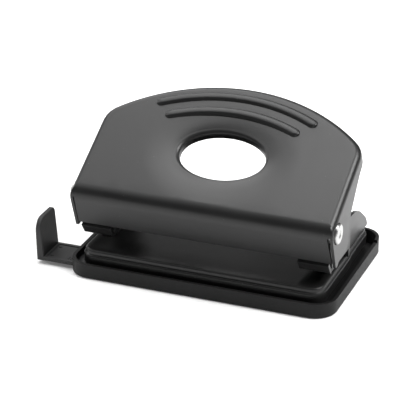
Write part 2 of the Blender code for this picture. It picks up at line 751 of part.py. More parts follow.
def make_circlip(name, side, look):
    """Open clip that seats in the punch's groove."""
    ring = ring_solid(2.3 * MM, 3.6 * MM, CLIP_BOTTOM, CLIP_BOTTOM + CLIP_THICK)
    clip = place(name, moved(ring, (side * PUNCH_X, PUNCH_Y, 0)),
                 origin=(side * PUNCH_X, PUNCH_Y, CLIP_BOTTOM), look=look)
    mouth = box(
        (side * PUNCH_X - 1.6 * MM, PUNCH_Y + 1.0 * MM, CLIP_BOTTOM - 1.0 * MM),
        (side * PUNCH_X + 1.6 * MM, PUNCH_Y + 6.0 * MM, CLIP_BOTTOM + 3.0 * MM))
    cut(clip, f"{name}_mouth", mouth)
    return clip


def make_spring_cup(name, side, look):
    """Washer between the spring and the clip."""
    ring = ring_solid(PUNCH_RADIUS + GAP, 3.7 * MM, CUP_BOTTOM, CUP_BOTTOM + CUP_THICK)
    return place(name, moved(ring, (side * PUNCH_X, PUNCH_Y, 0)),
                 origin=(side * PUNCH_X, PUNCH_Y, CUP_BOTTOM), look=look)


def make_spring(name, side, look):
    """Return spring coiled round the punch between the lower arm and its washer."""
    low = ARM_BOTTOM + SHEET + GAP + SPRING_WIRE_RADIUS
    high = CUP_BOTTOM - GAP - SPRING_WIRE_RADIUS
    per_turn = 15
    total = round(SPRING_TURNS * per_turn)
    rest = 0.75 * MM
    path = []
    for i in range(total + 1):
        turn = i / per_turn
        share = i / total
        if turn < 0.75:
            height = low + rest * turn / 0.75 * 0.8
        elif SPRING_TURNS - turn < 0.75:
            height = high - rest * (SPRING_TURNS - turn) / 0.75 * 0.8
        else:
            inner_share = (turn - 0.75) / (SPRING_TURNS - 1.5)
            height = low + rest * 0.8 + (high - low - 1.6 * rest) * inner_share
        angle = 2 * pi * SPRING_TURNS * share
        path.append(Vector((
            side * PUNCH_X + SPRING_MEAN_RADIUS * cos(angle),
            PUNCH_Y + SPRING_MEAN_RADIUS * sin(angle),
            height)))
    return place(name, tube(path, SPRING_WIRE_RADIUS),
                 origin=(side * PUNCH_X, PUNCH_Y, ARM_BOTTOM + SHEET), look=look)


def make_rivet(name, x, y, look):
    """Domed rivet that holds a bracket's foot to the base plate."""
    under = BASE_TOP - SHEET - GAP
    over = FOOT_BOTTOM + SHEET + GAP
    profile = (
        (1.4 * MM, under - 0.7 * MM),
        (2.3 * MM, under - 0.4 * MM),
        (2.4 * MM, under),
        (RIVET_RADIUS, under + 0.01 * MM),
        (RIVET_RADIUS, over - 0.01 * MM),
        (2.6 * MM, over),
        (2.4 * MM, over + 0.5 * MM),
        (1.7 * MM, over + 0.9 * MM),
        (0.8 * MM, over + 1.1 * MM),
    )
    return place(name, moved(turned(profile, 16), (x, y, 0)), origin=(x, y, under), look=look)


# ---- paper guide --------------------------------------------------------------------
def make_paper_guide(look):
    """Sliding side stop: a flat arm that runs in the tray and an upright wedge-shaped plate."""
    arm_end = GUIDE_OUTER_X + 0.6 * MM
    arm = [
        (arm_end, GUIDE_FRONT_Y + 0.05 * MM),
        (GUIDE_INNER_X, GUIDE_FRONT_Y + 0.05 * MM),
        (GUIDE_INNER_X, GUIDE_NARROW_Y),
        (GUIDE_SHOULDER_X, GUIDE_NARROW_Y),
        (GUIDE_SHOULDER_X, GUIDE_REAR_Y - 0.05 * MM),
        (arm_end, GUIDE_REAR_Y - 0.05 * MM),
    ]
    guide = place("paper_guide", prism_z(arm, GUIDE_BOTTOM, GUIDE_ARM_TOP), look=look)
    plate = rounded(
        [
            (GUIDE_FRONT_Y, GUIDE_BOTTOM - 0.02 * MM, 0.0),
            (GUIDE_REAR_Y, GUIDE_BOTTOM - 0.02 * MM, 0.0),
            (GUIDE_REAR_Y, GUIDE_STOP_TOP, 1.6 * MM),
            (GUIDE_FRONT_Y, GUIDE_STOP_TOP, 4.5 * MM),
        ],
        7,
    )
    middle = Vector(((GUIDE_FRONT_Y + GUIDE_REAR_Y) / 2, (GUIDE_BOTTOM + GUIDE_STOP_TOP) / 2))
    rings = []
    for foot_x, lean, shrink in (
        (GUIDE_OUTER_X, GUIDE_OUTER_LEAN, 0.5 * MM),
        (GUIDE_OUTER_X + 0.5 * MM, GUIDE_OUTER_LEAN, 0.0),
        (GUIDE_FACE_X - 0.3 * MM, GUIDE_FACE_LEAN, 0.0),
        (GUIDE_FACE_X, GUIDE_FACE_LEAN, 0.3 * MM),
    ):
        ring = []
        for y, z in plate:
            fall = Vector((y, z)) - middle
            ease = 1 - shrink / max(abs(fall.x), abs(fall.y), 1 * MM)
            share = (z - GUIDE_BOTTOM) / (GUIDE_STOP_TOP - GUIDE_BOTTOM)
            ring.append((
                foot_x - lean * share,
                middle.x + fall.x * ease,
                middle.y + fall.y * ease if z > 5 * MM else z))
        rings.append(ring)
    join(guide, "guide_plate", loft(rings))
    border = 1.3 * MM
    cut(guide, "guide_recess", box(
        (GUIDE_FACE_X + 0.8 * MM, GUIDE_FRONT_Y + border, GUIDE_ARM_TOP - 0.3 * MM),
        (GUIDE_SHOULDER_X - 1.5 * MM, GUIDE_REAR_Y - border, GUIDE_ARM_TOP + 2.0 * MM)))
    return guide


# ---- assembly -----------------------------------------------------------------------
def build():
    """Build every piece of the punch."""
    clear_scene()
    plastic = (0.022, 0.022, 0.023)
    painted = (0.035, 0.035, 0.037)
    bright = (0.78, 0.78, 0.76)
    make_chip_tray(material("chip_tray_plastic", plastic, 0.48, 0.0))
    make_base_plate(material("base_plate_paint", painted, 0.38, 0.0))
    make_handle(material("handle_paint", painted, 0.36, 0.0))
    make_paper_guide(material("paper_guide_plastic", plastic, 0.45, 0.0))
    for side, word in ((-1, "left"), (1, "right")):
        make_bracket(f"{word}_bracket", side, material(f"{word}_bracket_paint", painted, 0.4, 0.0))
        make_hinge_pin(f"{word}_hinge_pin", side, material(f"{word}_hinge_pin_zinc", bright, 0.25, 1.0))
        make_hinge_washer(f"{word}_hinge_washer", side,
                          material(f"{word}_hinge_washer_zinc", bright, 0.35, 1.0))
        make_punch(f"{word}_punch", side, material(f"{word}_punch_steel", (0.62, 0.62, 0.62), 0.28, 1.0))
        make_spring(f"{word}_spring", side, material(f"{word}_spring_steel", (0.55, 0.55, 0.56), 0.3, 1.0))
        make_spring_cup(f"{word}_spring_washer", side,
                        material(f"{word}_spring_washer_zinc", bright, 0.35, 1.0))
        make_circlip(f"{word}_circlip", side, material(f"{word}_circlip_steel", (0.3, 0.3, 0.31), 0.35, 1.0))
        for place_word, (x, y) in zip(("front", "rear"), FOOT_RIVETS):
            make_rivet(f"{word}_{place_word}_rivet", side * x, y,
                       material(f"{word}_{place_word}_rivet_zinc", bright, 0.35, 1.0))


build()
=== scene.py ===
"""Looks of the two-hole punch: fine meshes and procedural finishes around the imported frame.

Lengths are in metres, in the frame's own axes: +X right, -Y front, +Z up, tray underside at z = 0.
"""

from math import atan2, cos, exp, pi, radians, sin, tan

import bmesh
import bpy
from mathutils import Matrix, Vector


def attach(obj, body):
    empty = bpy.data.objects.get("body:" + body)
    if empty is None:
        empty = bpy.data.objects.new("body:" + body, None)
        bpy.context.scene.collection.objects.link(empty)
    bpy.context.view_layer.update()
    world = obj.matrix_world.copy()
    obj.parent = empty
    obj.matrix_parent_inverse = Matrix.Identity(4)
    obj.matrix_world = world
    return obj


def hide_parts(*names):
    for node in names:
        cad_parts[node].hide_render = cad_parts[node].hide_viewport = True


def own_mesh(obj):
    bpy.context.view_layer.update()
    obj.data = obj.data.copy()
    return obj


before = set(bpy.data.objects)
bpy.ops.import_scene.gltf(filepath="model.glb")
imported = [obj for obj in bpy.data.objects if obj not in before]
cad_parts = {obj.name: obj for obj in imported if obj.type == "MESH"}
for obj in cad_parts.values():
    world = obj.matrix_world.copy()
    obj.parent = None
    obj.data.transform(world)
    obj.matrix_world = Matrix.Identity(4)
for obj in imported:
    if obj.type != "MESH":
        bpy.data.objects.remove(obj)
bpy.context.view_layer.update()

MM = 0.001

# ---- camera ---------------------------------------------------------------------------
CAMERA_AZIMUTH = radians(21.30)
CAMERA_ELEVATION = radians(24.81)
CAMERA_DISTANCE = 738.0 * MM
CAMERA_TARGET = Vector((-10.38 * MM, 0.0, 21.9 * MM))
CAMERA_LENS = 187.53
SENSOR = 36.0

# ---- handle, in its own slope frame: x, v up the slope, w above the top face ------------
HINGE_Y = -22.8 * MM
HINGE_Z = 29.0 * MM
SLOPE = radians(28.5)
FLAP_LEAN = radians(20.0)
CORNER_Y = -29.2 * MM
CORNER_Z = 31.8 * MM
HALF_X = 47.9 * MM
REACH = 56.6 * MM
REAR_ARC = 70.0 * MM
SIDE_CORNER = 9.0 * MM
SHEET = 1.0 * MM
ROLL = 2.5 * MM
FRONT_BEND = 5.0 * MM
FLAP_BOTTOM = 18.0 * MM
LUG_BOTTOM = 16.5 * MM
FLANGE_DEPTH = 5.6 * MM
WINDOW_V = 25.9 * MM
WINDOW_HALF_X = 15.6 * MM
WINDOW_HALF_V = 9.95 * MM
WINDOW_ROLL = 1.75 * MM
WINDOW_DEPTH = 4.2 * MM
DISH_DEPTH = 1.0 * MM
DISH_REACH = 3.7 * MM
DISH_END = 13.0 * MM
RIB_WIDTH = 3.6 * MM
RIB_HEIGHT = 0.9 * MM
RIB_SHIFT = -0.6 * MM
RIBS = ((50.9 * MM, 29.2 * MM), (44.3 * MM, 23.9 * MM))

SEAM_TOP_X = {-1: 46.4 * MM, 1: 45.8 * MM}
SEAM_LOW_X = 46.6 * MM
LUG_BORE_RADIUS = 3.8 * MM

SMOOTH_ANGLE = radians(32.0)
BEVEL_ANGLE = radians(34.0)


# ---- node helpers -----------------------------------------------------------------------
class Finish:
    """A Principled material under construction, with small helpers for its node graph."""

    def __init__(self, name, roughness, metallic=0.0):
        self.material = bpy.data.materials.new(name)
        self.material.use_nodes = True
        self.nodes = self.material.node_tree.nodes
        self.links = self.material.node_tree.links
        self.shader = self.nodes["Principled BSDF"]
        self.shader.inputs["Roughness"].default_value = roughness
        self.shader.inputs["Metallic"].default_value = metallic
        self.place = self.nodes.new("ShaderNodeTexCoord").outputs["Object"]

    def link(self, source, target):
        self.links.new(source, target)

    def noise(self, scale, detail=3.0, roughness=0.5, stretch=None):
        """Noise value at the given scale, in waves per metre."""
        source = self.place
        if stretch is not None:
            mapping = self.nodes.new("ShaderNodeMapping")
            mapping.inputs["Scale"].default_value = stretch
            self.link(source, mapping.inputs["Vector"])
            source = mapping.outputs["Vector"]
        node = self.nodes.new("ShaderNodeTexNoise")
        node.inputs["Scale"].default_value = scale
        node.inputs["Detail"].default_value = detail
        node.inputs["Roughness"].default_value = roughness
        self.link(source, node.inputs["Vector"])
        return node.outputs["Fac"]

    def spots(self, scale, radius):
        """1 inside small round spots scattered at random, 0 elsewhere."""
        node = self.nodes.new("ShaderNodeTexVoronoi")
        node.inputs["Scale"].default_value = scale
        self.link(self.place, node.inputs["Vector"])
        return self.ramp(node.outputs["Distance"], ((radius * 0.6, 1.0), (radius, 0.0)))

    def ramp(self, value, stops):
        """Value run through a ramp of (position, grey) stops."""
        node = self.nodes.new("ShaderNodeValToRGB")
        elements = node.color_ramp.elements
        while len(elements) < len(stops):
            elements.new(0.5)
        for element, (position, grey) in zip(elements, stops):
            element.position = position
            element.color = (grey, grey, grey, 1.0)
        self.link(value, node.inputs["Fac"])
        return node.outputs["Color"]

    def spread(self, value, low, high):
        """Noise value, mostly between 0.25 and 0.75, mapped to low..high."""
        node = self.nodes.new("ShaderNodeMapRange")
        node.inputs["From Min"].default_value = 0.25
        node.inputs["From Max"].default_value = 0.75
        node.inputs["To Min"].default_value = low
        node.inputs["To Max"].default_value = high
        self.link(value, node.inputs["Value"])
        return node.outputs["Result"]

    def combine(self, operation, first, second):
        """Math node of two values; a number is allowed for either."""
        node = self.nodes.new("ShaderNodeMath")
        node.operation = operation
        for socket, value in zip(node.inputs, (first, second)):
            if isinstance(value, (int, float)):
                socket.default_value = value
            else:
                self.link(value, socket)
        return node.outputs["Value"]

    def mix(self, factor, first, second):
        """Colour mix of two colours, each a tuple or a socket."""
        node = self.nodes.new("ShaderNodeMix")
        node.data_type = "RGBA"
        self.link(factor, node.inputs["Factor"])
        for socket, value in zip((node.inputs[6], node.inputs[7]), (first, second)):
            if isinstance(value, tuple):
                socket.default_value = (*value, 1.0)
            else:
                self.link(value, socket)
        return node.outputs[2]

    def colour(self, source):
        self.link(source, self.shader.inputs["Base Color"])

    def roughness(self, source):
        self.link(source, self.shader.inputs["Roughness"])

    def bump(self, heights):
        """Chain of bumps, each (height value, distance in metres, strength)."""
        normal = None
        for height, distance, strength in heights:
            node = self.nodes.new("ShaderNodeBump")
            node.inputs["Distance"].default_value = distance
            node.inputs["Strength"].default_value = strength
            self.link(height, node.inputs["Height"])
            if normal is not None:
                self.link(normal, node.inputs["Normal"])
            normal = node.outputs["Normal"]
        self.link(normal, self.shader.inputs["Normal"])


# ---- finishes ---------------------------------------------------------------------------
def painted_steel(name, tone=0.011, roughness=0.36, gloss=0.35):
    """Satin black enamel on pressed steel: orange peel, fine grain, dust and faint rubbing."""
    look = Finish(name, roughness)
    look.shader.inputs["Specular IOR Level"].default_value = gloss
    cloud = look.noise(38.0, 4.0)
    grain = look.noise(5200.0, 2.0)
    peel = look.noise(900.0, 2.0)
    rub = look.noise(260.0, 5.0, 0.6, (1.0, 0.12, 1.0))
    dust = look.spots(260.0, 0.035)
    dark = (tone * 0.86, tone * 0.86, tone * 0.88)
    light = (tone * 1.18, tone * 1.18, tone * 1.17)
    body = look.mix(cloud, dark, light)
    look.colour(look.mix(look.combine("MULTIPLY", dust, 0.35), body, (0.24, 0.24, 0.24)))
    rough = look.combine("ADD", look.spread(cloud, roughness - 0.03, roughness + 0.03),
                         look.spread(rub, -0.015, 0.015))
    look.roughness(look.combine("ADD", rough, look.spread(grain, -0.03, 0.03)))
    look.bump(((peel, 0.00003, 0.25), (grain, 0.00001, 0.35), (dust, 0.00004, 0.4)))
    return look.material


def moulded_plastic(name, tone=0.008, roughness=0.52, gloss=0.18):
    """Fine spark-eroded texture of a moulded plastic part, slightly polished where touched."""
    look = Finish(name, roughness)
    look.shader.inputs["Specular IOR Level"].default_value = gloss
    cloud = look.noise(45.0, 3.0)
    grain = look.noise(4200.0, 3.0, 0.6)
    scuff = look.noise(420.0, 5.0, 0.65, (0.15, 1.0, 1.0))
    dark = (tone * 0.9, tone * 0.9, tone * 0.9)
    light = (tone * 1.2, tone * 1.2, tone * 1.22)
    look.colour(look.mix(cloud, dark, light))
    look.roughness(look.combine("ADD", look.spread(cloud, roughness - 0.04, roughness + 0.04),
                                look.spread(scuff, -0.03, 0.03)))
    look.bump(((grain, 0.00003, 0.5), (scuff, 0.00001, 0.2)))
    return look.material


def plated_steel(name, tone=0.50, roughness=0.36):
    """Bright zinc: clouded plating over fine turning marks."""
    look = Finish(name, roughness, 1.0)
    cloud = look.noise(700.0, 3.0)
    marks = look.noise(2600.0, 2.0, 0.5, (6.0, 1.0, 1.0))
    look.colour(look.mix(cloud, (tone * 0.9, tone * 0.9, tone * 0.9), (tone, tone, tone * 0.98)))
    look.roughness(look.combine("ADD", look.spread(cloud, roughness - 0.05, roughness + 0.05),
                                look.spread(marks, -0.04, 0.04)))
    look.bump(((marks, 0.00001, 0.3),))
    return look.material


def drawn_steel(name, tone, roughness, stretch):
    """Bare steel with fine lines across the stretch directions."""
    look = Finish(name, roughness, 1.0)
    lines = look.noise(1500.0, 3.0, 0.6, stretch)
    cloud = look.noise(300.0, 3.0)
    look.colour(look.mix(cloud, (tone * 0.85,) * 3, (tone * 1.08,) * 3))
    look.roughness(look.combine("ADD", look.spread(lines, roughness - 0.06, roughness + 0.06),
                                look.spread(cloud, -0.03, 0.03)))
    look.bump(((lines, 0.00001, 0.35),))
    return look.material


# ---- mesh helpers -----------------------------------------------------------------------
def arc(centre, radius, start, end, steps):
    """Points on an arc, both ends included."""
    return [
        (centre[0] + radius * cos(start + (end - start) * i / steps),
         centre[1] + radius * sin(start + (end - start) * i / steps))
        for i in range(steps + 1)
    ]


def smooth_step(low, high, value):
    """0 below low, 1 above high and an eased rise between them."""
    share = min(max((value - low) / (high - low), 0.0), 1.0)
    return share * share * (3 - 2 * share)


def finish_mesh(name, mesh, look):
    """Object from a bmesh, shaded smooth with its sharp edges kept."""
    data = bpy.data.meshes.new(name)
    mesh.to_mesh(data)
    mesh.free()
    data.materials.append(look)
    data.shade_smooth()
    data.set_sharp_from_angle(angle=SMOOTH_ANGLE)
    made = bpy.data.objects.new(name, data)
    bpy.context.scene.collection.objects.link(made)
    return made


def soft_edges(made, width):
    """Bevel of the given width on the object's sharp edges."""
    bevel = made.modifiers.new("soft_edges", "BEVEL")
    bevel.width = width
    bevel.segments = 2
    bevel.limit_method = "ANGLE"
    bevel.angle_limit = BEVEL_ANGLE


def softened(node, body, look, width):
    """Copy of a CAD node with its edges rounded, standing in for the node."""
    mesh = bmesh.new()
    mesh.from_mesh(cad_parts[node].data)
    bmesh.ops.remove_doubles(mesh, verts=mesh.verts, dist=0.000002)
    bmesh.ops.dissolve_limit(mesh, angle_limit=radians(0.6), verts=mesh.verts, edges=mesh.edges)
    made = finish_mesh(f"{node}_fine", mesh, look)
    soft_edges(made, width)
    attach(made, body)
    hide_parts(node)


def loft(rings, closed=False):
    """Skin through rings of equal point count: capped at both ends, or closed on itself."""
    mesh = bmesh.new()
    layers = [[mesh.verts.new(point) for point in ring] for ring in rings]
    count = len(layers[0])
    pairs = list(zip(layers, layers[1:]))
    if closed:
        pairs.append((layers[-1], layers[0]))
    for lower, upper in pairs:
        for i in range(count):
            j = (i + 1) % count
            mesh.faces.new((lower[i], lower[j], upper[j], upper[i]))
    if not closed:
        mesh.faces.new(list(reversed(layers[0])))
        mesh.faces.new(layers[-1])
    bmesh.ops.recalc_face_normals(mesh, faces=mesh.faces)
    return mesh


def prism_x(outline, low, high):
    """Outline in Y and Z, extruded from low to high in X."""
    return loft([[(x, y, z) for y, z in outline] for x in (low, high)])


def rounded(corners, steps):
    """Polygon through corners (a, b, radius) with each corner rounded by its radius."""
    points = []
    count = len(corners)
    for i, (a, b, radius) in enumerate(corners):
        corner = Vector((a, b))
        if radius == 0:
            points.append((a, b))
            continue
        back = (Vector(corners[i - 1][:2]) - corner).normalized()
        ahead = (Vector(corners[(i + 1) % count][:2]) - corner).normalized()
        half = back.angle(ahead) / 2
        centre = corner + (back + ahead).normalized() * (radius / sin(half))
        first = corner + back * (radius / tan(half)) - centre
        last = corner + ahead * (radius / tan(half)) - centre
        start = atan2(first.y, first.x)
        sweep = (atan2(last.y, last.x) - start + pi) % (2 * pi) - pi
        points += arc(centre, radius, start, start + sweep, steps)
    return points


def bare_object(name, mesh):
    """Object from a bmesh, with no material yet."""
    data = bpy.data.meshes.new(name)
    mesh.to_mesh(data)
    mesh.free()
    made = bpy.data.objects.new(name, data)
    bpy.context.scene.collection.objects.link(made)
    return made


def carve(target, tool, operation="DIFFERENCE"):
    """Boolean solved on the spot: the target gets the result and the tool is removed."""
    if isinstance(tool, bmesh.types.BMesh):
        tool = bare_object("tool", tool)
    modifier = target.modifiers.new("carve", "BOOLEAN")
    modifier.object = tool
    modifier.operation = operation
    modifier.solver = "EXACT"
    depsgraph = bpy.context.evaluated_depsgraph_get()
    solved = bpy.data.meshes.new_from_object(target.evaluated_get(depsgraph))
    target.modifiers.remove(modifier)
    target.data = solved
    bpy.data.objects.remove(tool, do_unlink=True)


def stand_in(made, node, body, look, width):
    """Give a fine object its finish and soft edges, and let it stand in for its CAD node."""
    made.data.materials.clear()
    made.data.materials.append(look)
    made.data.shade_smooth()
    made.data.set_sharp_from_angle(angle=SMOOTH_ANGLE)
    soft_edges(made, width)
    weighted = made.modifiers.new("even_shading", "WEIGHTED_NORMAL")
    weighted.keep_sharp = True
    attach(made, body)
    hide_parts(node)


# ---- handle -------------------------------------------------------------------------------
def slope_to_world(x, v, w):
    """Point given by X, distance up the handle's slope and height above its top face."""
    return (x, CORNER_Y + v * cos(SLOPE) - w * sin(SLOPE), CORNER_Z + v * sin(SLOPE) + w * cos(SLOPE))


def handle_outline(inset):
    """Handle seen square on to its top face: straight sides and an arched rear edge."""
    half = HALF_X - inset
    arc_radius = REAR_ARC - inset
    corner = SIDE_CORNER - inset
    arc_centre = REACH - REAR_ARC
    corner_x = half - corner
    corner_v = arc_centre + ((arc_radius - corner) ** 2 - corner_x ** 2) ** 0.5
    meet = atan2(corner_v - arc_centre, corner_x)
    right = [(half, -14.0 * MM)]
    right += arc((corner_x, corner_v), corner, 0, meet, 24)
    rear = arc((0, arc_centre), arc_radius, meet, pi - meet, 60)[1:-1]
    return right + rear + [(-x, v) for x, v in reversed(right)]


def ray_ring(outline, directions):
    """Where rays from the window's centre meet the outline, as (x, v) points."""
    points = []
    count = len(outline)
    for dx, dv in directions:
        best = 0.0
        for i in range(count):
            ax, av = outline[i]
            bx, bv = outline[(i + 1) % count]
            av -= WINDOW_V
            bv -= WINDOW_V
            cross = dx * (bv - av) - dv * (bx - ax)
            if abs(cross) < 1e-12:
                continue
            along = (ax * (bv - av) - av * (bx - ax)) / cross
            share = (ax * dv - av * dx) / cross
            if along > best and -1e-9 <= share <= 1 + 1e-9:
                best = along
        points.append((dx * best, WINDOW_V + dv * best))
    return points


def window_ring(growth, count):
    """Ellipse about the window's centre, grown outward by the given distance, as (x, v) points."""
    ring = []
    for i in range(count):
        angle = 2 * pi * i / count
        x = WINDOW_HALF_X * cos(angle)
        v = WINDOW_HALF_V * sin(angle)
        normal = Vector((x / WINDOW_HALF_X ** 2, v / WINDOW_HALF_V ** 2)).normalized()
        ring.append((x + growth * normal.x, WINDOW_V + v + growth * normal.y))
    return ring


def handle_skin(thin):
    """Rings from the window's collar over the dished top to the side walls, set inward by thin."""
    count = 160
    far_down = -45.0 * MM
    window_roll = WINDOW_ROLL - thin
    edge_roll = ROLL - thin
    rings = []

    def add(points, w):
        rings.append([slope_to_world(x, v, w) for x, v in points])

    add(window_ring(thin, count), -WINDOW_DEPTH if thin else far_down)
    for i in range(9):
        angle = pi / 2 * i / 8
        add(window_ring(thin + window_roll * (1 - cos(angle)), count),
            -thin - DISH_DEPTH - window_roll * (1 - sin(angle)))
    for growth in (0.5, 1.0, 1.6, 2.3, 3.1, 4.0, 5.1, 6.4, 8.0, 10.0):
        fade = 1 - smooth_step(0.5, 1.0, growth / 11.0)
        dip = DISH_DEPTH * exp(-growth * MM / DISH_REACH) * fade
        add(window_ring(WINDOW_ROLL + growth * MM, count), -thin - dip)
    last = window_ring(DISH_END, count)
    add(last, -thin)
    directions = [Vector((x, v - WINDOW_V)).normalized() for x, v in last]
    edge = ray_ring(handle_outline(ROLL), directions)
    for share in (0.35, 0.7):
        between = [(a[0] + (b[0] - a[0]) * share, a[1] + (b[1] - a[1]) * share) for a, b in zip(last, edge)]
        add(between, -thin)
    for i in range(9):
        angle = pi / 2 * i / 8
        add(ray_ring(handle_outline(thin + edge_roll * (1 - sin(angle))), directions),
            -thin - edge_roll * (1 - cos(angle)))
    add(ray_ring(handle_outline(thin), directions), far_down)
    return loft(rings, closed=not thin)


def handle_side(thin, lift):
    """Side view of the handle: sloping top, front bend and flap, lug and rising lower edge."""
    along = Vector((cos(SLOPE), sin(SLOPE)))
    down = Vector((sin(FLAP_LEAN), -cos(FLAP_LEAN)))
    half = along.angle(down) / 2
    corner = Vector((CORNER_Y, CORNER_Z)) + (along + down).normalized() * (thin / sin(half))
    rear_top = corner + along * (72.0 * MM)
    flap_end = corner + down * ((corner.y - LUG_BOTTOM + lift) / cos(FLAP_LEAN))
    lower = [(flap_end.x, flap_end.y, 0.0)]
    if lift:
        lower += [(60.0 * MM, LUG_BOTTOM - lift, 0.0)]
    else:
        lower += [
            (-22.0 * MM, LUG_BOTTOM + 0.05 * MM, 1.0 * MM),
            (-20.4 * MM, LUG_BOTTOM + 1.2 * MM, 1.5 * MM),
            (-11.0 * MM, LUG_BOTTOM + 1.5 * MM, 3.0 * MM),
            (-9.4 * MM, 28.6 * MM, 5.0 * MM),
            (*slope_to_world(0, 32.0 * MM, -FLANGE_DEPTH - 0.3 * MM)[1:], 14.0 * MM),
            (*slope_to_world(0, 70.0 * MM, -FLANGE_DEPTH)[1:], 0.0),
        ]
    return rounded([(corner.x, corner.y, FRONT_BEND - thin), *lower, (rear_top.x, rear_top.y, 0.0)], 16)


def rib_mesh(apex, half_length):
    """Pressed rib on an arc that follows the rear edge, round on top with a soft foot."""
    centre = REACH - REAR_ARC
    radius = apex - centre
    reach = half_length / radius
    tip = RIB_WIDTH / 2
    stations = [(-1, k) for k in (0.15, 0.35, 0.55, 0.75, 0.9)]
    stations += [(i / 48, 1.0) for i in range(49)]
    stations += [(2, k) for k in (0.9, 0.75, 0.55, 0.35, 0.15)]
    profile = [(-1.06, -0.8), (-1.06, -0.02), (-0.97, 0.1), (-0.83, 0.38), (-0.69, 0.68), (-0.57, 0.87),
               (-0.40, 0.97), (-0.15, 1.0)]
    profile += [(-across, height) for across, height in reversed(profile)]
    rings = []
    for share, width in stations:
        angle = reach - 2 * reach * share
        if share in (-1, 2):
            beyond = tip * (1 - width ** 2) ** 0.5 / radius
            angle = reach + beyond if share == -1 else -reach - beyond
        ring = []
        for across, height in profile:
            r = radius + across * tip * width
            w = height * RIB_HEIGHT * (width ** 0.7 if height > 0 else 1.0)
            ring.append(slope_to_world(RIB_SHIFT + r * sin(angle), centre + r * cos(angle), w))
        rings.append(ring)
    return loft(rings)


def wedge(side, top_x, low_x):
    """Slot between the flap and the side flange, narrower at the bottom."""
    outer = side * (HALF_X - SHEET + 0.02 * MM)
    rings = []
    for z, x in ((5.0 * MM, low_x), (FLAP_BOTTOM, low_x), (29.2 * MM, top_x)):
        rings.append([(outer, -40.0 * MM, z), (side * x, -40.0 * MM, z), (side * x, -22.6 * MM, z),
                      (outer, -22.6 * MM, z)])
    return loft(rings)


def box(low, high):
    """Box between two opposite corners."""
    outline = [(low[1], low[2]), (high[1], low[2]), (high[1], high[2]), (low[1], high[2])]
    return prism_x(outline, low[0], high[0])


def lug_bore(side, radius):
    """Round tool through one lug at the hinge axis."""
    ring = [(HINGE_Y + y, HINGE_Z + z) for y, z in arc((0, 0), radius, 0, 2 * pi * 47 / 48, 47)]
    return prism_x(ring, *sorted((side * 45.5 * MM, side * 51.0 * MM)))


def make_handle(look):
    """Pressed steel handle with a dished top, drawn window collar, ribs, flap and lugs."""
    far = 60.0 * MM
    handle = bare_object("handle_fine", handle_skin(0.0))
    carve(handle, prism_x(handle_side(0.0, 0.0), -far, far), "INTERSECT")
    inside = bare_object("handle_inside", handle_skin(SHEET))
    carve(inside, prism_x(handle_side(SHEET, 9.0 * MM), -far, far), "INTERSECT")
    carve(handle, inside)
    inner_x = HALF_X - SHEET + 0.02 * MM
    carve(handle, box((-inner_x, -40.0 * MM, 5.0 * MM), (inner_x, -15.0 * MM, FLAP_BOTTOM)))
    for side in (-1, 1):
        carve(handle, wedge(side, SEAM_TOP_X[side], SEAM_LOW_X))
        carve(handle, lug_bore(side, LUG_BORE_RADIUS))
    for apex, half_length in RIBS:
        carve(handle, rib_mesh(apex, half_length), "UNION")
    stand_in(handle, "handle", "handle", look, 0.18 * MM)


# ---- springs ------------------------------------------------------------------------------
PUNCH_X = 40.0 * MM
PUNCH_Y = -12.6 * MM
SPRING_LOW = 14.4 * MM
SPRING_HIGH = 24.4 * MM
SPRING_RADIUS = 3.35 * MM
WIRE_RADIUS = 0.35 * MM
SPRING_TURNS = 5.5


def make_spring(name, side, look):
    """Coil with closed end turns."""
    per_turn = 36
    total = round(SPRING_TURNS * per_turn)
    low = SPRING_LOW + WIRE_RADIUS
    high = SPRING_HIGH - WIRE_RADIUS
    rise = 0.6 * MM
    rings = []
    for i in range(total + 1):
        turn = i / per_turn
        left = SPRING_TURNS - turn
        if turn < 0.75:
            height = low + rise * turn / 0.75
        elif left < 0.75:
            height = high - rise * left / 0.75
        else:
            height = low + rise + (high - low - 2 * rise) * (turn - 0.75) / (SPRING_TURNS - 1.5)
        angle = 2 * pi * turn
        outward = Vector((cos(angle), sin(angle), 0.0))
        centre = Vector((side * PUNCH_X, PUNCH_Y, height)) + SPRING_RADIUS * outward
        rings.append([centre + a * outward + Vector((0.0, 0.0, b)) for a, b in
                      arc((0, 0), WIRE_RADIUS, 0, 2 * pi * 11 / 12, 11)])
    spring = finish_mesh(f"{name}_fine", loft(rings), look)
    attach(spring, "frame")
    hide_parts(name)
    height = SPRING_HIGH - SPRING_LOW
    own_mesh(spring)


# ---- paper guide --------------------------------------------------------------------------
GUIDE_FLOOR_Z = 2.5 * MM
DIMPLES = ((-57.6 * MM, -23.4 * MM), (-57.6 * MM, -16.4 * MM))
DIMPLE_RADIUS = 0.75 * MM
DIMPLE_HEIGHT = 0.35 * MM
TICK_COUNT = 4
TICK_FIRST_X = -51.2 * MM
TICK_STEP = 1.0 * MM
TICK_LOW_Y = -24.6 * MM
TICK_HIGH_Y = -22.8 * MM
TICK_WIDTH = 0.35 * MM
TICK_HEIGHT = 0.2 * MM
MARK_SINK = 0.3 * MM


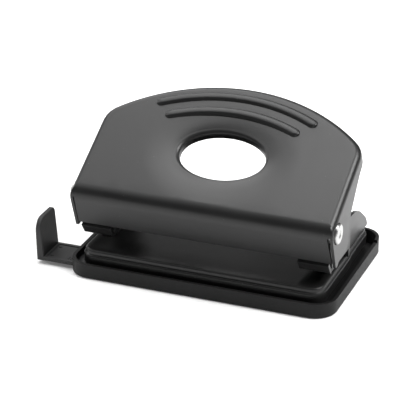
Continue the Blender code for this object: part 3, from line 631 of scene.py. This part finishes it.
def make_paper_guide(look):
    """Sliding guide with ejector dimples and a row of plain ticks in its recess."""
    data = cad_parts["paper_guide"].data.copy()
    guide = bpy.data.objects.new("paper_guide_fine", data)
    bpy.context.scene.collection.objects.link(guide)
    guide.matrix_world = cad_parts["paper_guide"].matrix_world.copy()
    for x, y in DIMPLES:
        rings = []
        for share in (1.0, 0.93, 0.75, 0.4):
            rise = DIMPLE_HEIGHT * (1 - share * share) ** 0.5 if share < 1 else -MARK_SINK
            rings.append([(x + a, y + b, GUIDE_FLOOR_Z + rise)
                          for a, b in arc((0, 0), DIMPLE_RADIUS * share, 0, 2 * pi * 15 / 16, 15)])
        carve(guide, loft(rings), "UNION")
    for i in range(TICK_COUNT):
        left = TICK_FIRST_X + i * TICK_STEP
        right = left + TICK_WIDTH
        outline = ((left, TICK_LOW_Y), (right, TICK_LOW_Y), (right, TICK_HIGH_Y), (left, TICK_HIGH_Y))
        rings = [[(x, y, GUIDE_FLOOR_Z + rise) for x, y in outline] for rise in (-MARK_SINK, TICK_HEIGHT)]
        carve(guide, loft(rings), "UNION")
    stand_in(guide, "paper_guide", "paper_guide", look, 0.22 * MM)


# ---- stage, lights and camera -------------------------------------------------------------
FLOOR_DROP = 0.05 * MM
FLOOR_GLOW = 0.12
WORLD_STRENGTH = 0.08


def make_stage():
    """Pale floor, just below the tray's underside, that glows a little."""
    mesh = bmesh.new()
    bmesh.ops.create_grid(mesh, x_segments=1, y_segments=1, size=4.0)
    look = Finish("floor_paper", 0.9)
    cloud = look.noise(3.0, 2.0)
    look.colour(look.mix(cloud, (0.90, 0.90, 0.90), (0.93, 0.93, 0.93)))
    look.shader.inputs["Emission Color"].default_value = (1.0, 1.0, 1.0, 1.0)
    look.shader.inputs["Emission Strength"].default_value = FLOOR_GLOW
    bmesh.ops.translate(mesh, verts=mesh.verts, vec=(0.0, 0.0, -FLOOR_DROP))
    floor = finish_mesh("floor", mesh, look.material)


SOFT_BOXES = (
    ("right_key", (100.0, 50.0), 0.6, 18.0),
    ("overhead", (200.0, 80.0), 0.6, 8.0),
    ("left_rear", (-130.0, 50.0), 0.6, 5.0),
    ("left_low", (-95.0, 20.0), 0.6, 4.0),
    ("left_high", (-70.0, 50.0), 0.6, 3.0),
    ("rear", (200.0, 50.0), 0.6, 1.5),
)
BOX_DISTANCE = 1.2


def soft_box(name, direction, size, power):
    """Square area light that looks at the object from the given azimuth and elevation."""
    azimuth, elevation = (radians(a) for a in direction)
    back = Vector((sin(azimuth) * cos(elevation), -cos(azimuth) * cos(elevation), sin(elevation)))
    light = bpy.data.lights.new(name, "AREA")
    light.shape = "SQUARE"
    light.size = size
    light.energy = power
    lamp = bpy.data.objects.new(name, light)
    lamp.location = CAMERA_TARGET + back * BOX_DISTANCE
    lamp.rotation_mode = "QUATERNION"
    lamp.rotation_quaternion = (-back).to_track_quat("-Z", "Y")
    bpy.context.scene.collection.objects.link(lamp)


def make_lights():
    """Dim white world and six soft boxes."""
    world = bpy.data.worlds.new("studio")
    world.use_nodes = True
    world.node_tree.nodes["Background"].inputs["Color"].default_value = (1.0, 1.0, 1.0, 1.0)
    world.node_tree.nodes["Background"].inputs["Strength"].default_value = WORLD_STRENGTH
    bpy.context.scene.world = world
    for name, direction, size, power in SOFT_BOXES:
        soft_box(name, direction, size, power)
    bpy.context.scene.view_settings.view_transform = "Standard"


def make_camera():
    """Long lens, level, aimed at the camera target."""
    back = Vector((
        sin(CAMERA_AZIMUTH) * cos(CAMERA_ELEVATION),
        -cos(CAMERA_AZIMUTH) * cos(CAMERA_ELEVATION),
        sin(CAMERA_ELEVATION)))
    data = bpy.data.cameras.new("camera")
    data.lens = CAMERA_LENS
    data.sensor_width = SENSOR
    camera = bpy.data.objects.new("camera", data)
    camera.location = CAMERA_TARGET + back * CAMERA_DISTANCE
    camera.rotation_mode = "QUATERNION"
    camera.rotation_quaternion = (-back).to_track_quat("-Z", "Y")
    bpy.context.scene.collection.objects.link(camera)
    bpy.context.scene.camera = camera


# ---- build --------------------------------------------------------------------------------
def build():
    """Camera, stage and lights, then every piece of the punch with its finish."""
    make_camera()
    make_stage()
    make_lights()
    paint = painted_steel("dark_enamel")
    plastic = moulded_plastic("black_plastic")
    zinc = plated_steel("bright_zinc")
    punch_look = drawn_steel("ground_steel", 0.62, 0.28, (1.0, 1.0, 0.1))
    spring_look = drawn_steel("spring_wire", 0.55, 0.3, (1.0, 1.0, 1.0))
    clip_look = drawn_steel("clip_steel", 0.3, 0.36, (1.0, 1.0, 1.0))
    softened("base_plate", "frame", paint, 0.15 * MM)
    softened("chip_tray", "chip_tray", plastic, 0.25 * MM)
    # The guide uses the black plastic at a lighter tone (0.04 against 0.008). The lighter tone is painted
    # light that brightens the guide's face.
    make_paper_guide(moulded_plastic("guide_plastic_painted_light", 0.04))
    make_handle(paint)
    for side in ("left", "right"):
        softened(f"{side}_bracket", "frame", paint, 0.15 * MM)
        for node, look in (
            (f"{side}_hinge_pin", zinc), (f"{side}_hinge_washer", zinc), (f"{side}_spring_washer", zinc),
            (f"{side}_front_rivet", zinc), (f"{side}_rear_rivet", zinc), (f"{side}_circlip", clip_look),
            (f"{side}_punch", punch_look),
        ):
            for material_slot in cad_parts[node].material_slots:
                material_slot.material = look
        make_spring(f"{side}_spring", 1 if side == "right" else -1, spring_look)


build()
